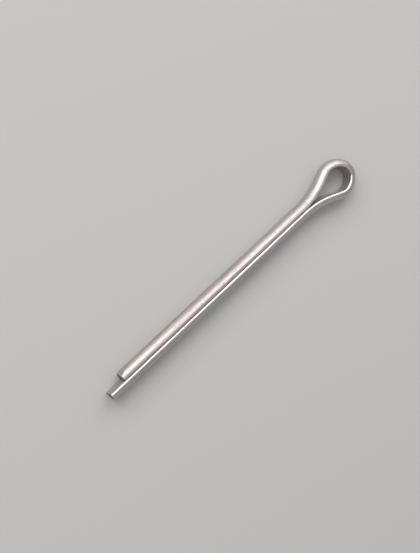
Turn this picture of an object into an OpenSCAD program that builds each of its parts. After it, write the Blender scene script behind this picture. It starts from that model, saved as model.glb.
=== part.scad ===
// Cotter pin: one length of half-round wire, folded flat to flat round an open eye.
// It lies on its side, as it rests on a table: eye towards +X, ends of the legs towards -X.
// The origin is under the middle of the pin. All sizes are in millimetres and degrees.

/* [Wire] */
// Diameter of the round shank that the two closed legs make
shank_d = 2.9; // [2.4:0.05:3.4]
// Gap between the flats of the closed legs
leg_gap = 0.05; // [0.02:0.01:0.15]
// Radius on the two long corners of the half-round wire
corner_r = 0.33; // [0.1:0.01:0.5]

/* [Legs] */
// Length of the short leg, from its neck to its end
short_leg = 41.2; // [12:0.2:90]
// How far the long leg stands past the short one
leg_step = 3; // [0.6:0.1:8]
// Radius that the shears leave on the outer edge of each end
end_edge_r = 0.1; // [0.05:0.01:0.3]
// Depth of the flat that the shears press into the round side of the short leg's end
pressed_depth = 0.24; // [0.15:0.01:0.4]
// Length of that flat along the leg
pressed_length = 1.1; // [0.6:0.1:2]

/* [Eye] */
// Radius of each neck, the bend that spreads the wire from its leg, on its flat
neck_r = 16; // [10:0.5:20]
// Inside radius of the crown, the far end of the eye
crown_r = 1.45; // [1.2:0.05:4]
// Inside radius of each side, between shoulder and crown
side_r = 3.05; // [2.5:0.05:4.5]

/* [Short leg's half of the eye] */
// Angle by which the neck spreads the wire from the shank
short_neck_turn = 24.6; // [20:0.1:28]
// Straight length between neck and shoulder
short_straight = 1; // [0.5:0.1:2.5]
// Inside radius of the shoulder
short_shoulder_r = 2.2; // [1.4:0.05:4]
// Angle that the shoulder turns through
short_shoulder_turn = 31.5; // [15:0.5:60]
// Angle that the side turns through
short_side_turn = 49.5; // [30:0.5:70]

/* [Long leg's half of the eye] */
// Angle by which the neck spreads the wire from the shank
long_neck_turn = 20.7; // [16:0.1:25]
// Inside radius of the shoulder
long_shoulder_r = 2.35; // [1.6:0.05:4]
// Angle that the shoulder turns through
long_shoulder_turn = 50; // [35:0.5:70]
// Angle that the side turns through
long_side_turn = 23; // [10:0.5:40]

/* [Hidden] */
$fn = 60;
pressed_tilt = 19; // how far the pressed flat looks up

shank_r = shank_d / 2;
half_gap = leg_gap / 2;
wire_t = shank_r - half_gap; // thickness of the half-round wire
corner_y = sqrt(pow(shank_r - corner_r, 2) - pow(corner_r + half_gap, 2)); // centre of a corner, along the flat
wire_half_w = corner_y + corner_r; // half the width of the half-round wire

// The crown turns by what the other bends leave of the half turn.
crown_turn = 180 + short_neck_turn + long_neck_turn
    - short_shoulder_turn - short_side_turn - long_side_turn - long_shoulder_turn;

// The wire is followed along its flat, with its round side on the left, from the short
// leg's neck to the long leg's. A step is a bend [radius, turn], which turns left where
// turn > 0, or a straight [length, 0]. A pose is [x, y, heading].
to_crown = [
    [neck_r, short_neck_turn],
    [short_straight, 0],
    [short_shoulder_r, -short_shoulder_turn],
    [side_r, -short_side_turn]
];
crown = [crown_r, -crown_turn];
to_long_straight = [
    [side_r, -long_side_turn],
    [long_shoulder_r, -long_shoulder_turn]
];
long_neck = [neck_r, long_neck_turn];

function straight_on(p, len) = [p.x + len * cos(p.z), p.y + len * sin(p.z), p.z];
function bend_centre(p, r, turn) = [p.x - sign(turn) * r * sin(p.z), p.y + sign(turn) * r * cos(p.z)];
function round_bend(p, r, turn) =
    let (c = bend_centre(p, r, turn), h = p.z + turn)
    [c.x + sign(turn) * r * sin(h), c.y - sign(turn) * r * cos(h), h];
function after(p, step) = step[1] == 0 ? straight_on(p, step[0]) : round_bend(p, step[0], step[1]);
function pose(steps, n) = n == 0 ? [0, half_gap, 0] : after(pose(steps, n - 1), steps[n - 1]);

// The long straight is as long as it takes for both legs to lie flat to flat.
unclosed = concat(to_crown, [crown], to_long_straight, [long_neck]);
long_straight = -(half_gap + pose(unclosed, len(unclosed)).y) / sin(long_neck_turn);
steps = concat(to_crown, [crown], to_long_straight, [[long_straight, 0], long_neck]);

crown_centre = bend_centre(pose(steps, len(to_crown)), crown_r, -crown_turn);
crown_x = crown_centre.x + crown_r + wire_t;
long_end_x = -(short_leg + leg_step);
long_leg = pose(steps, len(steps)).x - long_end_x;

// The waste outside one rounded corner of the wire, at the +Y end of its flat
module corner_waste() {
    outward = [corner_r + half_gap, corner_y] / (shank_r - corner_r);
    difference() {
        polygon([
            [-half_gap, corner_y],
            [corner_r, corner_y],
            [-half_gap, 0] + shank_d * outward,
            [-half_gap, shank_d]
        ]);
        translate([corner_r, corner_y]) circle(corner_r);
    }
}

// Section of the half-round wire: the flat lies on the Y axis and the round side faces +X.
// The round is centred on the shank's axis, so that the closed legs make one true circle.
module wire_section() {
    difference() {
        intersection() {
            translate([-half_gap, 0]) circle(shank_r);
            translate([0, -shank_r]) square([shank_r, shank_d]);
        }
        corner_waste();
        mirror([0, 1]) corner_waste();
    }
}

// A straight length of wire along +X, with its round side on the left
module straight(len) {
    rotate([90, 0, 90]) linear_extrude(len) wire_section();
}

// Puts what follows at the end of a step. Along a bend, the move is made in hundredths of a
// millimetre and then in what is left over, so that no small part of it is rounded away.
module onward(size, turn) {
    if (turn == 0) translate([size, 0, 0]) children();
    else {
        move = round_bend([0, 0, 0], size, turn);
        coarse = [round(100 * move.x) / 100, round(100 * move.y) / 100];
        translate(coarse) translate([move.x - coarse.x, move.y - coarse.y])
            rotate([0, 0, turn]) children();
    }
}

// A bend that sets out along +X. It is made to overrun its end, and is then cut off on the
// very plane where the next step starts, so that the two meet face to face.
module bend(r, turn) {
    overrun = 2;
    difference() {
        translate([0, sign(turn) * r, 0])
            rotate_extrude(start = -sign(turn) * 90, angle = turn + sign(turn) * overrun)
                translate([r, 0]) mirror([turn < 0 ? 0 : 1, 0]) wire_section();
        onward(r, turn) translate([0, -shank_r, -shank_d]) cube([shank_d, 2 * shank_d, 2 * shank_d]);
    }
}

// The edge that the shears round over at the end of a leg, on the plane x = 0
module end_edge_waste() {
    translate([0, -half_gap, 0]) rotate([0, 90, 0]) rotate_extrude() difference() {
        translate([shank_r - end_edge_r, -end_edge_r]) square(2 * end_edge_r);
        translate([shank_r - end_edge_r, -end_edge_r]) circle(end_edge_r);
    }
}

// What the shears press flat at the end of a leg, on the plane x = 0: a wedge on the round
// side, which starts from nothing and is deepest at the end
module pressed_waste() {
    slope = pressed_depth / pressed_length;
    translate([0, -half_gap, 0]) rotate([pressed_tilt, 0, 0]) linear_extrude(2 * shank_d, center = true)
        polygon([
            [-2 * pressed_length, shank_r + pressed_depth],
            [1, shank_r - pressed_depth - slope],
            [1, shank_d],
            [-2 * pressed_length, shank_d]
        ]);
}

// A leg that runs from its neck along +X to its sheared end
module leg(len) {
    difference() {
        straight(len);
        translate([len, 0, 0]) end_edge_waste();
    }
}

// The eye from step i on, with the long leg at its end
module eye_and_long_leg(i = 0) {
    if (i == len(steps)) leg(long_leg);
    else {
        size = steps[i][0];
        turn = steps[i][1];
        if (turn == 0) straight(size);
        else bend(size, turn);
        onward(size, turn) eye_and_long_leg(i + 1);
    }
}

module cotter_pin() {
    color("silver") translate([-(crown_x + long_end_x) / 2, half_gap, wire_half_w]) {
        mirror([1, 0, 0]) difference() {
            leg(short_leg);
            translate([short_leg, 0, 0]) pressed_waste();
        }
        eye_and_long_leg();
    }
}

cotter_pin();
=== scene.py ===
import math

import bmesh
import bpy
import numpy as np
from mathutils import Matrix, Vector


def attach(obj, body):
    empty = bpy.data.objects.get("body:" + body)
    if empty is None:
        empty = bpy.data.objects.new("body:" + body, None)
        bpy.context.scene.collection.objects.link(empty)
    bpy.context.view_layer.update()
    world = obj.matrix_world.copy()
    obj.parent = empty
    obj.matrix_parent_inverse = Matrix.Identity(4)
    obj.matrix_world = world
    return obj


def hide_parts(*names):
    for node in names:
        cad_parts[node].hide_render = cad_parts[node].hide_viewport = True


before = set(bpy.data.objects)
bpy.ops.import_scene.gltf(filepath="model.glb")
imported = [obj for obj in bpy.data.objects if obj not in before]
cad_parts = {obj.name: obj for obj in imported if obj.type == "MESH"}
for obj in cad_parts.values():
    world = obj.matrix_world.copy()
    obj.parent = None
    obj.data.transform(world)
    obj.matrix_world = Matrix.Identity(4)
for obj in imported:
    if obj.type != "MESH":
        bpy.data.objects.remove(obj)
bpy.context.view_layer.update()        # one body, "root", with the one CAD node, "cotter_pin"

# A split pin of bright drawn steel wire, lying on a pale table under soft studio lights.
# The pin's sizes are in millimetres and degrees, and mm() turns them to metres for the mesh.
# The pin lies along X with its eye towards +X, and the plane of its fold is level.

# ---------------------------------------------------------------- sizes of the pin

SHANK_D = 2.9            # round shank that the two closed legs make
LEG_GAP = 0.05           # between the flats of the closed legs
CORNER_R = 0.33          # on the two long corners of the half-round wire
CORNER_EASE = 0.5        # share by which wear has eased that curve in a corner's middle
SHORT_LEG = 41.2         # from its neck to its end
LEG_STEP = 3.0           # how far the long leg stands past the short one
PRESSED_DEPTH = 0.24     # of the flat that the shears press into the short leg's end
PRESSED_LENGTH = 1.1     # of that flat, along the leg
PRESSED_TILT = 19.0      # how far it looks up
END_EDGE_R = 0.1         # edge that the shears round over at each end
FACE_SINK = 0.04         # depth to which a sheared face sinks in its middle
WEAR_AND_HIGHLIGHT_WIDTH = 0.15        # how far from the middle of a long corner it is still burnished, and its colour a painted highlight
NECK_R = 16.0            # radii are those of the flat, on the inside of the eye
CROWN_R = 1.45
SIDE_R = 3.05
SHORT_NECK_TURN = 24.6
SHORT_STRAIGHT = 1.0
SHORT_SHOULDER_R = 2.2
SHORT_SHOULDER_TURN = 31.5
SHORT_SIDE_TURN = 49.5
LONG_NECK_TURN = 20.7
LONG_SHOULDER_R = 2.35
LONG_SHOULDER_TURN = 50.0
LONG_SIDE_TURN = 23.0

SHANK_R = SHANK_D / 2
HALF_GAP = LEG_GAP / 2
WIRE_T = SHANK_R - HALF_GAP
CORNER_UP = math.sqrt((SHANK_R - CORNER_R) ** 2 - (CORNER_R + HALF_GAP) ** 2)
CORNER_AT = math.atan2(CORNER_UP, CORNER_R + HALF_GAP)   # where the round side meets a corner
HALF_HEIGHT = CORNER_UP + CORNER_R
CROWN_TURN = (180 + SHORT_NECK_TURN + LONG_NECK_TURN
              - SHORT_SHOULDER_TURN - SHORT_SIDE_TURN - LONG_SIDE_TURN - LONG_SHOULDER_TURN)

# ---------------------------------------------------------------- fineness of the mesh

ROUND_POINTS = 45        # round the round side of the section
CORNER_STEPS = 20        # across a long corner
FLAT_STEPS = 12          # across the flat
EDGE_POINTS = 9          # over the rounded edge of an end
PRESSED_POINTS = 17      # along what the shears press flat, and PRESSED_MARGIN past it
PRESSED_MARGIN = 0.3
LEG_SPACING = 0.5        # along the rest of a leg
EYE_SPACING = 0.12       # round the outside of the eye
FACE_RINGS = 10          # from the rim of a sheared face to its middle
CRISP_ANGLE = 40         # between faces whose shared edge stays crisp

# ---------------------------------------------------------------- small helpers

def mm(length):
    """Millimetres to metres, for a number, a tuple or an array."""
    return np.asarray(length, float) / 1000


def linear(hex_colour):
    """An sRGB hex colour, such as "c8c5c2", as linear RGBA."""
    srgb = np.array([int(hex_colour[i:i + 2], 16) for i in (0, 2, 4)]) / 255
    rgb = np.where(srgb <= 0.04045, srgb / 12.92, ((srgb + 0.055) / 1.055) ** 2.4)
    return (*rgb.tolist(), 1.0)


def waves(x, periods, seed):
    """The mean of one cosine wave per period, each at a phase of its own, from -1 to 1."""
    phase = np.random.default_rng(seed).uniform(0, 2 * math.pi, len(periods))
    return np.cos(2 * math.pi * np.asarray(x)[..., None] / np.asarray(periods) + phase).mean(-1)


# ---------------------------------------------------------------- the wire's line

def bend(start, radius, turn, count):
    """Points along an arc: the centre lies square to the heading, on the side that the turn
    goes to, and a point at heading h is radius from it. Each row is x, y, heading."""
    side = math.copysign(radius, turn)
    x, y, heading = start
    h0 = math.radians(heading)
    centre = (x - side * math.sin(h0), y + side * math.cos(h0))
    headings = heading + np.linspace(0, turn, count + 1)[1:]
    h = np.radians(headings)
    return np.column_stack([centre[0] + side * np.sin(h), centre[1] - side * np.cos(h), headings])


def straight(start, length, count):
    """Points along a straight line at the start's heading, evenly spaced."""
    x, y, heading = start
    h = math.radians(heading)
    along = np.linspace(0, length, count + 1)[1:]
    return np.column_stack([x + along * math.cos(h), y + along * math.sin(h),
                            np.full(count, heading)])


def follow(start, steps, spacing):
    """The line through a list of steps. A step is (radius, turn), or (length, 0) if it is
    straight, and gets a point for about each spacing of its length."""
    rows = [np.array([start], float)]
    for size, turn in steps:
        length = size if turn == 0 else (size + WIRE_T) * math.radians(abs(turn))
        count = max(2, math.ceil(length / spacing))
        start = rows[-1][-1]
        rows.append(straight(start, size, count) if turn == 0 else bend(start, size, turn, count))
    return np.vstack(rows)


def end_spacing(length):
    """Distances from an end: cosine spacing over its rounded edge, close even spacing over
    what the shears press flat, and wider even spacing over the rest."""
    rounding = END_EDGE_R * (1 - np.cos(np.linspace(0, math.pi / 2, EDGE_POINTS)))
    pressed = np.linspace(END_EDGE_R, PRESSED_LENGTH + PRESSED_MARGIN, PRESSED_POINTS)[1:]
    rest = np.linspace(pressed[-1], length, math.ceil(length / LEG_SPACING) + 1)[1:]
    return np.concatenate([rounding, pressed, rest])


def wire_line():
    """The line of the flat in plan, from the short leg's end round the eye to the long leg's
    end. Each row is x, y, heading, and the round side is always on the left. The last
    straight of the eye is as long as it takes for both legs to lie flat to flat, and the
    whole is moved so that the pin's middle is at x = 0. The second result is the distance
    along the flat from the short leg's end, and the third that from the nearer end."""
    unclosed = [(NECK_R, SHORT_NECK_TURN),
                (SHORT_STRAIGHT, 0),
                (SHORT_SHOULDER_R, -SHORT_SHOULDER_TURN),
                (SIDE_R, -SHORT_SIDE_TURN),
                (CROWN_R, -CROWN_TURN),
                (SIDE_R, -LONG_SIDE_TURN),
                (LONG_SHOULDER_R, -LONG_SHOULDER_TURN)]
    neck = (NECK_R, LONG_NECK_TURN)
    overshoot = follow((0, HALF_GAP, 0), unclosed + [neck], 1)[-1, 1] + HALF_GAP
    long_straight = -overshoot / math.sin(math.radians(LONG_NECK_TURN))
    eye = follow((0, HALF_GAP, 0), unclosed + [(long_straight, 0), neck], EYE_SPACING)
    long_leg = eye[-1, 0] + SHORT_LEG + LEG_STEP
    before = end_spacing(SHORT_LEG)[:-1]
    after = end_spacing(long_leg)[:-1][::-1]
    short_rows = np.column_stack([before - SHORT_LEG, np.full_like(before, HALF_GAP),
                                  np.zeros_like(before)])
    long_rows = np.column_stack([after - SHORT_LEG - LEG_STEP, np.full_like(after, -HALF_GAP),
                                 np.full_like(after, -180.0)])
    line = np.vstack([short_rows, eye, long_rows])
    steps = np.hypot(*np.diff(line[:, :2], axis=0).T)
    along = np.concatenate([[0], np.cumsum(steps)])
    crown_x = (eye[:, 0] - np.sin(np.radians(eye[:, 2])) * WIRE_T).max()
    line[:, 0] -= (crown_x - SHORT_LEG - LEG_STEP) / 2
    return line, along, np.minimum(along, along[-1] - along)


# ---------------------------------------------------------------- the wire's section

def worn_corner():
    """The upper corner of the section, from the end of the round side to the flat, as rows of
    out and up. It turns by one angle at each step. A step is as long as one plus CORNER_EASE
    times a cosine that peaks in the corner's middle, and all are scaled so that the corner
    spans the same chord as an arc of CORNER_R."""
    turn = math.pi - CORNER_AT
    share = (np.arange(CORNER_STEPS) + 0.5) / CORNER_STEPS
    heading = CORNER_AT + turn * share
    stride = 1 - CORNER_EASE * np.cos(2 * math.pi * share)
    chord = stride @ np.cos(turn * (share - 0.5))
    stride *= 2 * CORNER_R * math.sin(turn / 2) / chord
    start = [CORNER_R + CORNER_R * math.cos(CORNER_AT), CORNER_UP + CORNER_R * math.sin(CORNER_AT)]
    steps = np.column_stack([-np.sin(heading), np.cos(heading)]) * stride[:, None]
    return start + np.cumsum(steps, axis=0)


def wire_section():
    """The half-round section, once round: the round side, a worn corner, the flat, and the
    other corner. Each row is out and up, where out is the distance from the flat and up is
    the height over the middle. The second result is the distance round it so far, and the
    third the whole way round."""
    round_side = np.linspace(-CORNER_AT, CORNER_AT, ROUND_POINTS)
    flat = np.linspace(CORNER_UP, -CORNER_UP, FLAT_STEPS + 1)[1:-1]
    top = worn_corner()
    section = np.vstack([
        np.column_stack([SHANK_R * np.cos(round_side) - HALF_GAP, SHANK_R * np.sin(round_side)]),
        top,
        np.column_stack([np.zeros_like(flat), flat]),
        (top * [1, -1])[::-1],
    ])
    closed = np.vstack([section, section[:1]])
    around = np.concatenate([[0], np.cumsum(np.hypot(*np.diff(closed, axis=0).T))])
    return section, around[:-1], around[-1]


# ---------------------------------------------------------------- the pin

def place(line, out, up):
    """Points of the wire: from the line's point, out along the left-hand normal of its
    heading, and up from the pin's middle height. All three broadcast together."""
    heading = np.radians(line[..., 2])
    return np.stack([line[..., 0] - out * np.sin(heading),
                     line[..., 1] + out * np.cos(heading),
                     HALF_HEIGHT + up + 0 * out], -1)


def wire_surface(line, along, from_end, section):
    """The section carried along the line. Near each end a point comes no further out from
    the shank's axis than a quarter circle of END_EDGE_R allows, as the shears leave it. At
    the short leg's end it is also pushed back to a plane that leans in by PRESSED_DEPTH over
    PRESSED_LENGTH, and that looks out and PRESSED_TILT up."""
    out, up = section[None, :, 0] + HALF_GAP, section[None, :, 1]
    reach = np.hypot(out, up)
    depth = np.minimum(from_end, END_EDGE_R)[:, None]
    allowed = SHANK_R - END_EDGE_R + np.sqrt(END_EDGE_R ** 2 - (END_EDGE_R - depth) ** 2)
    share = np.minimum(reach, allowed) / reach
    out, up = out * share, up * share
    facing = (math.cos(math.radians(PRESSED_TILT)), math.sin(math.radians(PRESSED_TILT)))
    plane = SHANK_R - PRESSED_DEPTH * (1 - along / PRESSED_LENGTH)[:, None]
    proud = np.maximum(out * facing[0] + up * facing[1] - plane, 0)
    return place(line[:, None, :], out - proud * facing[0] - HALF_GAP, up - proud * facing[1])


def sheared_face(rim, seed):
    """Rings of points that shrink evenly from the rim of an end to its middle, with the rim as
    the first. The face sinks in uneven waves along a slant, by nothing at the rim and by up
    to FACE_SINK in the middle, as a sheared face does."""
    middle = rim.mean(0)
    share = np.linspace(1, 0, FACE_RINGS)[:, None]
    rings = middle + (rim - middle) * share[..., None]
    slant = rings[..., 1] * 1.3 + rings[..., 2]
    sunk = FACE_SINK / 2 * (1 + waves(slant, periods=(0.5, 0.9, 1.7), seed=seed))
    rings[..., 0] += sunk * (1 - share ** 2)
    return rings


def edge_wear_and_highlight(from_end, around, girth):
    """How burnished each point of the wall is, and how much painted highlight its colour gets, from 0
    to 1: a bell curve of the way round to the middle of the nearer long corner, or a faster one of the
    way along to the nearer end, whichever is more."""
    round_side = 2 * SHANK_R * CORNER_AT
    corner = (girth - round_side - 2 * CORNER_UP) / 2
    middles = np.array([round_side + corner / 2, girth - corner / 2])
    to_corner = np.abs(around[:, None] - middles).min(1)
    at_corner = np.exp(-(to_corner / WEAR_AND_HIGHLIGHT_WIDTH) ** 2)
    at_end = np.exp(-(from_end / END_EDGE_R) ** 2)
    return np.maximum(at_corner[None, :], at_end[:, None])


def grid_faces(first, rows, columns):
    """Quads between neighbouring rows of a grid that closes on itself, as vertex numbers."""
    row, column = np.meshgrid(np.arange(rows - 1), np.arange(columns), indexing="ij")
    step = (column + 1) % columns
    corners = [row * columns + column, row * columns + step,
               (row + 1) * columns + step, (row + 1) * columns + column]
    return first + np.stack(corners, -1).reshape(-1, 4)


def build_pin():
    """The whole pin as one closed mesh, with a UV map in millimetres: U runs along the wire
    from the short leg's end, and V runs round its section. The two sheared faces have the
    second material, and their map is their own plane."""
    line, along, from_end = wire_line()
    section, around, girth = wire_section()
    columns = len(section)
    wall = wire_surface(line, along, from_end, section)
    grids = [wall, sheared_face(wall[0], seed=3), sheared_face(wall[-1], seed=4)]

    points = np.vstack([grid.reshape(-1, 3) for grid in grids])
    starts = np.cumsum([0] + [grid.shape[0] * columns for grid in grids])
    wall_faces = grid_faces(starts[0], wall.shape[0], columns)
    short_faces = grid_faces(starts[1], grids[1].shape[0], columns)[:, ::-1]
    long_faces = grid_faces(starts[2], grids[2].shape[0], columns)
    faces = np.vstack([wall_faces, short_faces, long_faces])

    mesh = bpy.data.meshes.new("cotter_pin_wire")
    mesh.from_pydata(mm(points).tolist(), [], faces.tolist())
    wall_uv = np.stack(np.broadcast_arrays(along[:, None], around[None, :]), -1).reshape(-1, 2)
    face_uv = [grid.reshape(-1, 3)[:, 1:] for grid in grids[1:]]
    uv = np.vstack([wall_uv, *face_uv])[faces]
    closing = faces[:len(wall_faces), 1] % columns == 0
    uv[:len(wall_faces)][closing, 1:3, 1] = girth
    layer = mesh.uv_layers.new(name="wire_mm")
    layer.uv.foreach_set("vector", uv.astype(np.float32).ravel())
    # burnish on the long corners and end rims, which also sets where their colour carries a painted
    # highlight
    wear_and_highlight = np.zeros(len(points))
    wear_and_highlight[:wall.shape[0] * columns] = edge_wear_and_highlight(from_end, around, girth).ravel()
    mesh.attributes.new("wear_and_highlight", "FLOAT", "POINT").data.foreach_set("value", wear_and_highlight)
    mesh.polygons.foreach_set("use_smooth", np.ones(len(faces), bool))
    mesh.polygons.foreach_set("material_index",
                              np.repeat([0, 1], [len(wall_faces), len(faces) - len(wall_faces)]))
    return mesh


def weld(mesh):
    """Joins the points that the wall and the faces share, which drops faces with no area,
    points the rest outwards, and lets edges sharper than CRISP_ANGLE stay crisp."""
    bm = bmesh.new()
    bm.from_mesh(mesh)
    bmesh.ops.remove_doubles(bm, verts=bm.verts, dist=1e-7)
    bmesh.ops.recalc_face_normals(bm, faces=bm.faces)
    bm.to_mesh(mesh)
    bm.free()
    mesh.set_sharp_from_angle(angle=math.radians(CRISP_ANGLE))


# ---------------------------------------------------------------- materials

def node(tree, kind, links=(), **settings):
    """Adds a node. Settings name its sockets or its properties, and links are pairs of a
    socket and the output that feeds it, or the number that it holds."""
    made = tree.nodes.new(kind)
    for name, value in settings.items():
        words = name.replace("_", " ").title()
        if words in made.inputs:
            made.inputs[words].default_value = value
        else:
            setattr(made, name, value)
    for socket, source in links:
        if isinstance(source, bpy.types.NodeSocket):
            tree.links.new(source, made.inputs[socket])
        else:
            made.inputs[socket].default_value = source
    return made


def new_material(name):
    material = bpy.data.materials.new(name)
    material.use_nodes = True
    material.node_tree.nodes.clear()
    return material, material.node_tree


def grain(tree, uv, along, across, detail, low, high):
    """A 2-D noise whose grains are so many millimetres along the wire and across it, with its
    values from low to high stretched to 0 to 1."""
    at = node(tree, "ShaderNodeMapping", [("Vector", uv)], Scale=(1 / along, 1 / across, 1)).outputs[0]
    noise = node(tree, "ShaderNodeTexNoise", [("Vector", at)], noise_dimensions="2D",
                 Scale=1, Detail=detail, Roughness=0.55).outputs["Fac"]
    return node(tree, "ShaderNodeMapRange", [("Value", noise)], From_Min=low, From_Max=high).outputs[0]


def drawn_steel_wire():
    """Bright low-carbon steel wire, drawn to a half round through a die and left as it came out. The
    die's fine lines make it satin and spread a highlight round the wire. The rolls have burnished its
    long corners and the rims of its ends, which are smoother; their brighter, pinker colour is partly
    that burnish and partly a painted highlight. Handling has left it a little hazy and nicked. Real
    die lines are under 0.05 mm apart, too fine to show, and are drawn at 0.12 mm."""
    material, tree = new_material("drawn_steel_wire")
    uv = node(tree, "ShaderNodeUVMap", uv_map="wire_mm").outputs["UV"]
    wear_and_highlight = node(tree, "ShaderNodeAttribute", attribute_name="wear_and_highlight").outputs["Fac"]
    lines = grain(tree, uv, along=20, across=0.12, detail=3, low=0.3, high=0.7)
    streaks = grain(tree, uv, along=14, across=0.45, detail=2, low=0.32, high=0.68)
    haze = grain(tree, uv, along=5, across=2.5, detail=3, low=0.35, high=0.65)
    nicks = grain(tree, uv, along=0.7, across=0.16, detail=1, low=0.70, high=0.76)

    streaked = node(tree, "ShaderNodeMix", [("Factor", streaks)], data_type="RGBA",
                    A=linear("b4acaa"), B=linear("c8c1bf")).outputs["Result"]
    # painted highlight: the corners and end rims get a brighter, pinker colour, partly the rolls'
    # burnish and partly painted highlight
    burnish_and_highlight = node(tree, "ShaderNodeMix", [("Factor", wear_and_highlight), ("A", streaked)], data_type="RGBA",
                     B=linear("e0d5d2")).outputs["Result"]
    colour = node(tree, "ShaderNodeMix", [("Factor", nicks), ("A", burnish_and_highlight)], data_type="RGBA",
                  B=linear("948d8a")).outputs["Result"]
    satin = node(tree, "ShaderNodeMapRange", [("Value", lines)], To_Min=0.27, To_Max=0.37).outputs[0]
    hazy = node(tree, "ShaderNodeMath", [(0, haze), (1, 0.06), (2, satin)],
                operation="MULTIPLY_ADD")
    roughness = node(tree, "ShaderNodeMapRange", [("Value", wear_and_highlight), ("To Min", hazy.outputs[0])],
                     To_Max=0.24)

    lined = node(tree, "ShaderNodeBump", [("Height", lines)], Strength=0.4, Distance=0.00001)
    nicked = node(tree, "ShaderNodeBump", [("Height", nicks), ("Normal", lined.outputs[0])],
                  Strength=0.6, Distance=0.00002, invert=True)
    round_the_wire = node(tree, "ShaderNodeTangent", direction_type="UV_MAP", uv_map="wire_mm")
    shader = node(tree, "ShaderNodeBsdfPrincipled",
                  [("Base Color", colour), ("Roughness", roughness.outputs[0]),
                   ("Normal", nicked.outputs[0]), ("Tangent", round_the_wire.outputs[0])],
                  Metallic=1.0, Anisotropic=0.75, Anisotropic_Rotation=0.25)
    node(tree, "ShaderNodeOutputMaterial", [("Surface", shader.outputs[0])])
    return material


def sheared_steel():
    """The cut end of the same wire. The blade burnishes the upper part of it as it goes in,
    down to a ragged line at about 1.8 mm, and the rest tears off, so that it is grey, rough
    and dull. Object coordinates are in metres, so the grit is 0.14 mm across, drawn coarser
    than real torn grain, and the ragged line wanders over 0.6 mm."""
    material, tree = new_material("sheared_steel")
    place_at = node(tree, "ShaderNodeTexCoord").outputs["Object"]
    grit = node(tree, "ShaderNodeTexNoise", [("Vector", place_at)], Scale=7000,
                Detail=4).outputs["Fac"]
    ragged = node(tree, "ShaderNodeTexNoise", [("Vector", place_at)], Scale=1800,
                  Detail=2).outputs["Fac"]
    height = node(tree, "ShaderNodeSeparateXYZ", [("Vector", place_at)]).outputs["Z"]
    wavy = node(tree, "ShaderNodeMath", [(0, ragged), (1, 0.0008), (2, height)],
                operation="MULTIPLY_ADD")
    torn = node(tree, "ShaderNodeMapRange", [("Value", wavy.outputs[0])],
                From_Min=0.0023, From_Max=0.0021).outputs[0]

    colour = node(tree, "ShaderNodeMix", [("Factor", torn)], data_type="RGBA",
                  A=linear("b0a8a6"), B=linear("827b79")).outputs["Result"]
    dull = node(tree, "ShaderNodeMapRange", [("Value", grit)], To_Min=0.4, To_Max=0.65).outputs[0]
    roughness = node(tree, "ShaderNodeMapRange", [("Value", torn), ("To Max", dull)], To_Min=0.28)
    depth = node(tree, "ShaderNodeMath", [(0, grit), (1, torn)], operation="MULTIPLY").outputs[0]
    bump = node(tree, "ShaderNodeBump", [("Height", depth)], Strength=0.6, Distance=0.00006)
    shader = node(tree, "ShaderNodeBsdfPrincipled",
                  [("Base Color", colour), ("Roughness", roughness.outputs[0]),
                   ("Normal", bump.outputs[0])], Metallic=1.0)
    node(tree, "ShaderNodeOutputMaterial", [("Surface", shader.outputs[0])])
    return material


def matt_table():
    """A pale painted board, quite matt."""
    material, tree = new_material("matt_table")
    shader = node(tree, "ShaderNodeBsdfPrincipled", Base_Color=linear("c6c5c3"), Roughness=0.9)
    node(tree, "ShaderNodeOutputMaterial", [("Surface", shader.outputs[0])])
    return material


# ---------------------------------------------------------------- stage, light and camera

# Lengths here are in metres.

def add_object(name, data):
    made = bpy.data.objects.new(name, data)
    bpy.context.scene.collection.objects.link(made)
    return made


def from_angles(azimuth, elevation):
    """The unit vector that points to an azimuth, counted from +X towards +Y, and an elevation."""
    a = math.radians(azimuth)
    e = math.radians(elevation)
    return Vector((math.cos(e) * math.cos(a), math.cos(e) * math.sin(a), math.sin(e)))


def aimed(made, target, direction, distance, roll=0.0):
    """Puts a camera or lamp at a distance from its target, looking at it, and then turns it
    about its own line of sight."""
    spot = Vector(target) + direction * distance
    turn = direction.to_track_quat("Z", "Y").to_matrix().to_4x4()
    made.matrix_world = Matrix.Translation(spot) @ turn @ Matrix.Rotation(math.radians(roll), 4, "Z")


def add_table():
    """A round board: one flat face, with its corners spaced evenly round a circle."""
    radius = 0.45
    corner_count = 128
    turn = np.linspace(0, 2 * math.pi, corner_count, endpoint=False)
    corners = np.column_stack([radius * np.cos(turn), radius * np.sin(turn), np.zeros(corner_count)])
    mesh = bpy.data.meshes.new("table")
    mesh.from_pydata(corners.tolist(), [], [list(range(corner_count))])
    mesh.materials.append(matt_table())
    add_object("table", mesh)


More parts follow.
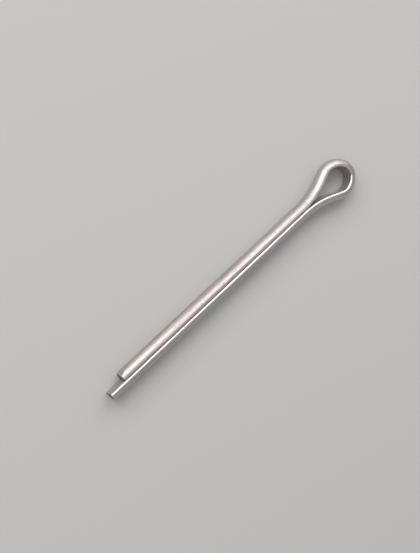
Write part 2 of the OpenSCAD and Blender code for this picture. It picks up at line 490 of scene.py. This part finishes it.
def add_softbox(name, azimuth, elevation, distance, width, height, radiance):
    """A flat soft white light that faces the pin. Its power is what gives its face the stated
    radiance."""
    lamp = bpy.data.lights.new(name, "AREA")
    lamp.shape = "RECTANGLE"
    lamp.size = width
    lamp.size_y = height
    lamp.energy = radiance * math.pi * width * height
    aimed(add_object(name, lamp), (0, 0, 0), from_angles(azimuth, elevation), distance)


def add_world(lighting, backdrop):
    """A plain white surround. It lights the table with one strength, and is seen by the camera
    and in the steel with another, near the table's own level."""
    world = bpy.data.worlds.new("studio")
    world.use_nodes = True
    tree = world.node_tree
    background = tree.nodes["Background"]
    background.inputs["Color"].default_value = linear("ffffff")
    path = node(tree, "ShaderNodeLightPath").outputs
    seen = node(tree, "ShaderNodeMath", [(0, path["Is Camera Ray"]), (1, path["Is Glossy Ray"])])
    seen = node(tree, "ShaderNodeMath", [(0, seen.outputs[0]), (1, path["Is Transmission Ray"])],
                use_clamp=True)
    strength = node(tree, "ShaderNodeMapRange", [("Value", seen.outputs[0])],
                    To_Min=lighting, To_Max=backdrop)
    tree.links.new(strength.outputs[0], background.inputs["Strength"])
    bpy.context.scene.world = world


def add_camera():
    """Looks down on the pin from over its tips, aimed at a point on the pin's middle height."""
    camera = bpy.data.cameras.new("camera")
    camera.sensor_fit = "AUTO"
    camera.sensor_width = 36
    camera.lens = 61.84
    camera.clip_start = 0.005
    made = add_object("camera", camera)
    aimed(made, mm((-3.946, 2.612, HALF_HEIGHT)), from_angles(azimuth=137.41, elevation=65.18),
          distance=0.15182, roll=92.41)
    bpy.context.scene.camera = made


# ---------------------------------------------------------------- the scene

pin_mesh = build_pin()
weld(pin_mesh)
pin_mesh.materials.append(drawn_steel_wire())
pin_mesh.materials.append(sheared_steel())
pin = add_object("wire_pin", pin_mesh)
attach(pin, "root")
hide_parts("cotter_pin")

add_table()
add_softbox("key", azimuth=62, elevation=36, distance=0.6, width=0.88, height=0.36, radiance=2.52)
add_softbox("tip_side", azimuth=115, elevation=38, distance=0.6, width=0.5, height=0.4, radiance=1.6)
add_softbox("eye_side", azimuth=14, elevation=20, distance=0.6, width=0.35, height=0.3, radiance=1.2)
add_world(lighting=0.45, backdrop=0.5)
add_camera()
bpy.context.scene.view_settings.view_transform = "Standard"
